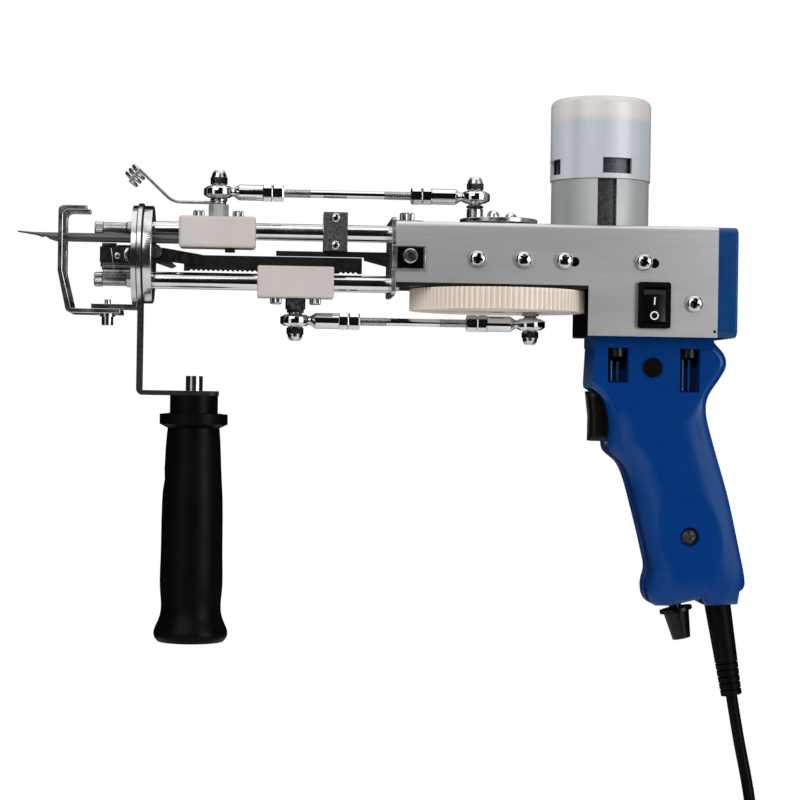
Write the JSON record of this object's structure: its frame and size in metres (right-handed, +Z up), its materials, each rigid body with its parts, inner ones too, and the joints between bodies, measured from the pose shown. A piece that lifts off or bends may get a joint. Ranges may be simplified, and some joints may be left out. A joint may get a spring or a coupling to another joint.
{
  "type": "handheld tufting machine",
  "caption": "Handheld electric tufting machine that drives a hollow needle and scissor blades through backing cloth, with a pistol grip and a front side handle.",
  "frame": {"origin": "inside the pistol grip, midway between its sides, where the hand holds it", "axes": "+X to the rear, away from the needle's point; +Y away from the side with the rocker switch; +Z up, as held in use"},
  "size_m": [0.3592, 0.0838, 0.4658],
  "materials": {
    "brushed_aluminium": "brushed along X",
    "black_steel": "satin",
    "blue_cover": "gloss",
    "blue_grip": "moulded, satin gloss",
    "polished_steel": "nickel plated",
    "grey_steel": "satin",
    "motor_steel": "zinc plated",
    "motor_plastic": "moulded",
    "white_nylon": "turned",
    "black_rubber": "matt",
    "black_plastic": "gloss",
    "rotor_iron": "wound",
    "bearing_bronze": "sintered"
  },
  "bodies": {
    "frame": {"housing_shell": "brushed_aluminium", "inner_chassis": "black_steel", "front_plate": "brushed_aluminium", "cap_screws": "polished_steel", "pan_screws": "polished_steel", "rear_cover": "blue_cover", "motor_can": "motor_steel", "motor_flux_ring": "motor_steel", "motor_cap": "motor_plastic", "inner_screws": "polished_steel", "shaft_bearings": "bearing_bronze", "guide_rods": "polished_steel", "rod_sleeves": "polished_steel", "rod_nuts": "polished_steel", "front_disc": "polished_steel", "rear_disc": "polished_steel", "rod_clamp": "grey_steel", "guide_bracket": "black_steel", "grip_shell_near": "blue_grip", "grip_shell_far": "blue_grip", "trigger_switch": "black_plastic", "speed_control": "black_plastic", "rocker_bezel": "black_plastic", "strain_relief": "black_rubber", "foot_screw": "polished_steel", "cord": "black_rubber", "cord_coil": "black_rubber", "cord_tie": "black_plastic", "cord_plug": "black_plastic"},
    "crank": {"main_gear": "white_nylon", "crank_shaft": "polished_steel", "upper_crank": "polished_steel"},
    "rotor": {"motor_rotor": "rotor_iron", "pinion": "white_nylon"},
    "needle_carriage": {"needle_slider": "white_nylon", "needle_slider_screws": "polished_steel", "needle_stud": "polished_steel", "needle": "polished_steel", "yarn_guide": "polished_steel"},
    "upper_link": {"upper_link_rod": "polished_steel", "upper_link_ends": "polished_steel", "upper_crank_bolt": "polished_steel"},
    "scissor_carriage": {"scissor_slider": "white_nylon", "scissor_slider_screws": "polished_steel", "scissor_stud": "polished_steel", "scissor_bar": "black_steel", "fixed_blade": "grey_steel", "blade_pivot": "polished_steel"},
    "blade": {"moving_blade": "grey_steel"},
    "lower_link": {"lower_link_rod": "polished_steel", "lower_link_ends": "polished_steel", "lower_crank_bolt": "polished_steel"},
    "handle": {"handle_strap": "polished_steel", "handle_stud": "polished_steel", "front_handle": "black_rubber"},
    "foot": {"presser_foot": "polished_steel"},
    "trigger": {"trigger": "black_plastic"},
    "lock_button": {"lock_button": "black_plastic"},
    "rocker": {"rocker": "black_plastic"},
    "speed_knob": {"speed_knob": "black_plastic"}
  },
  "joints": [
    {"name": "gear_spin", "type": "hinge", "parent": "frame", "child": "crank", "pos_m": [-0.082, 0, 0.0839], "axis": [0, 0, 1], "continuous": true},
    {"name": "motor_spin", "type": "hinge", "parent": "frame", "child": "rotor", "pos_m": [-0.0336, 0, 0.0839], "axis": [0, 0, 1], "continuous": true},
    {"name": "needle_slide", "type": "slide", "parent": "frame", "child": "needle_carriage", "axis": [1, 0, 0], "range_m": [0, 0.0228]},
    {"name": "scissor_slide", "type": "slide", "parent": "frame", "child": "scissor_carriage", "axis": [1, 0, 0], "range_m": [-0.0318, 0]},
    {"name": "upper_link_swing", "type": "hinge", "parent": "needle_carriage", "child": "upper_link", "pos_m": [-0.2149, 0, 0.1332], "axis": [0, 0, 1], "range_deg": [-5.4, 5.4]},
    {"name": "lower_link_swing", "type": "hinge", "parent": "scissor_carriage", "child": "lower_link", "pos_m": [-0.178, 0, 0.0732], "axis": [0, 0, 1], "range_deg": [-8.2, 8.2]},
    {"name": "blade_turn", "type": "hinge", "parent": "scissor_carriage", "child": "blade", "pos_m": [-0.2443, 0, 0.1043], "axis": [0, 1, 0], "range_deg": [-8, 0]},
    {"name": "handle_turn", "type": "hinge", "parent": "frame", "child": "handle", "pos_m": [-0.25, 0, 0.1029], "axis": [1, 0, 0], "range_deg": [-90, 90]},
    {"name": "foot_slide", "type": "slide", "parent": "frame", "child": "foot", "axis": [1, 0, 0], "range_m": [-0.0039, 0.0045]},
    {"name": "trigger_pull", "type": "slide", "parent": "frame", "child": "trigger", "axis": [1, 0, 0], "range_m": [0, 0.005], "stiffness_N_per_m": 600, "springref_m": -0.002},
    {"name": "lock_press", "type": "slide", "parent": "frame", "child": "lock_button", "axis": [0, 1, 0], "range_m": [0, 0.0025], "stiffness_N_per_m": 500, "springref_m": -0.001},
    {"name": "rocker_tilt", "type": "hinge", "parent": "frame", "child": "rocker", "pos_m": [-0.0112, -0.0253, 0.0823], "axis": [1, 0, 0], "range_deg": [-14, 0]},
    {"name": "knob_turn", "type": "hinge", "parent": "frame", "child": "speed_knob", "pos_m": [0.006, 0, -0.061], "axis": [0.213, 0, -0.977], "range_deg": [0, 300]}
  ],
  "couplings": [
    {"joint": "motor_spin", "follows": "gear_spin", "ratio": -5.7222},
    {"joint": "scissor_slide", "follows": "needle_slide", "ratio": -1.3947},
    {"joint": "blade_turn", "follows": "needle_slide", "rad_per_m": -6.0474}
  ]
}
